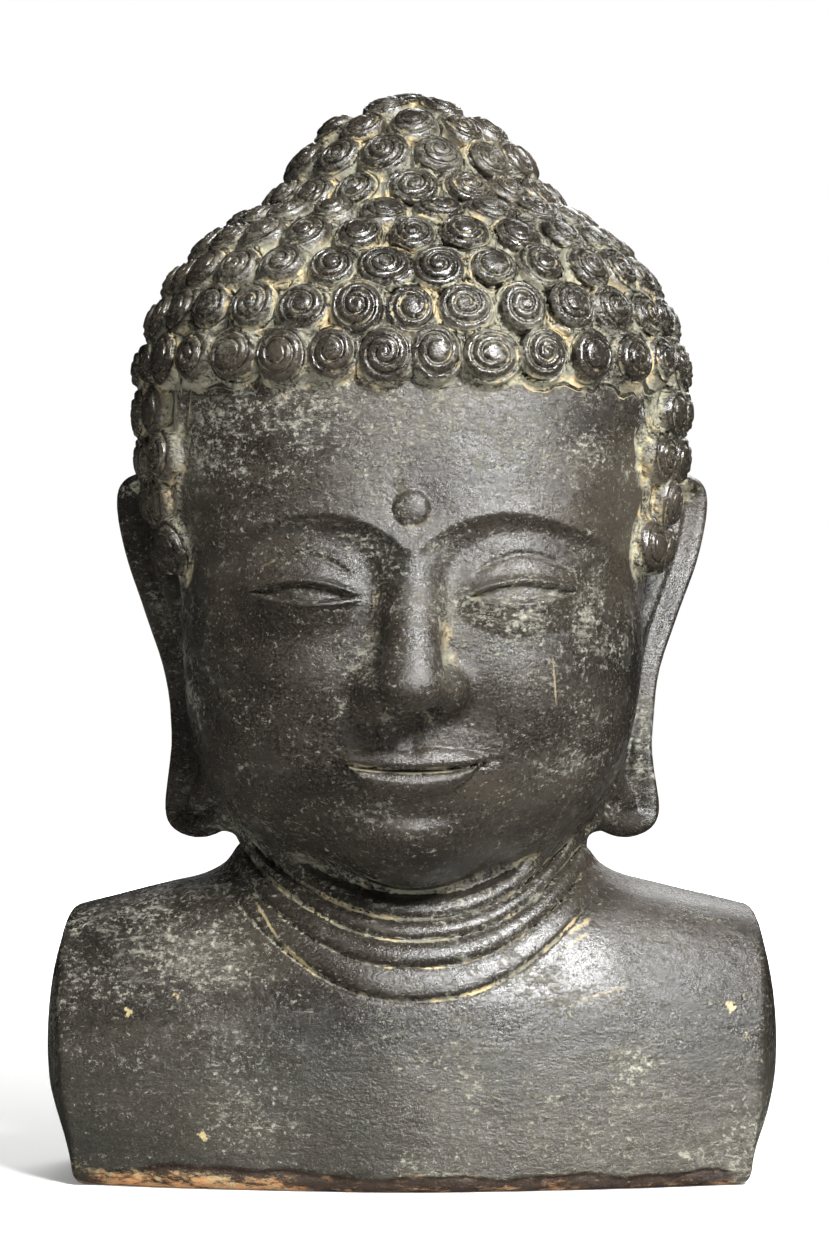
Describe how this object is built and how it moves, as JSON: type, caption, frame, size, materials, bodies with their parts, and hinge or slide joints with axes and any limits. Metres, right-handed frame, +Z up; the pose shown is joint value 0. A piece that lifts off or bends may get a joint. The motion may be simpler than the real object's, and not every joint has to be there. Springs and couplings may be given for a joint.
{
  "type": "stone buddha head",
  "caption": "Carved stone Buddha head with snail-shell curls, a hair knot, long ears, a creased neck and a flat-bottomed bust cut off at the arms.",
  "frame": {"origin": "middle of the flat underside of the bust, where it stands", "axes": "+Z up through the hair knot, -Y the way the face looks, +X towards the viewer's right when the face is seen from the front"},
  "size_m": [0.3308, 0.2899, 0.49],
  "materials": {
    "dark_stone": "satin"
  },
  "bodies": {
    "root": {"buddha_head": "dark_stone"}
  },
  "joints": []
}
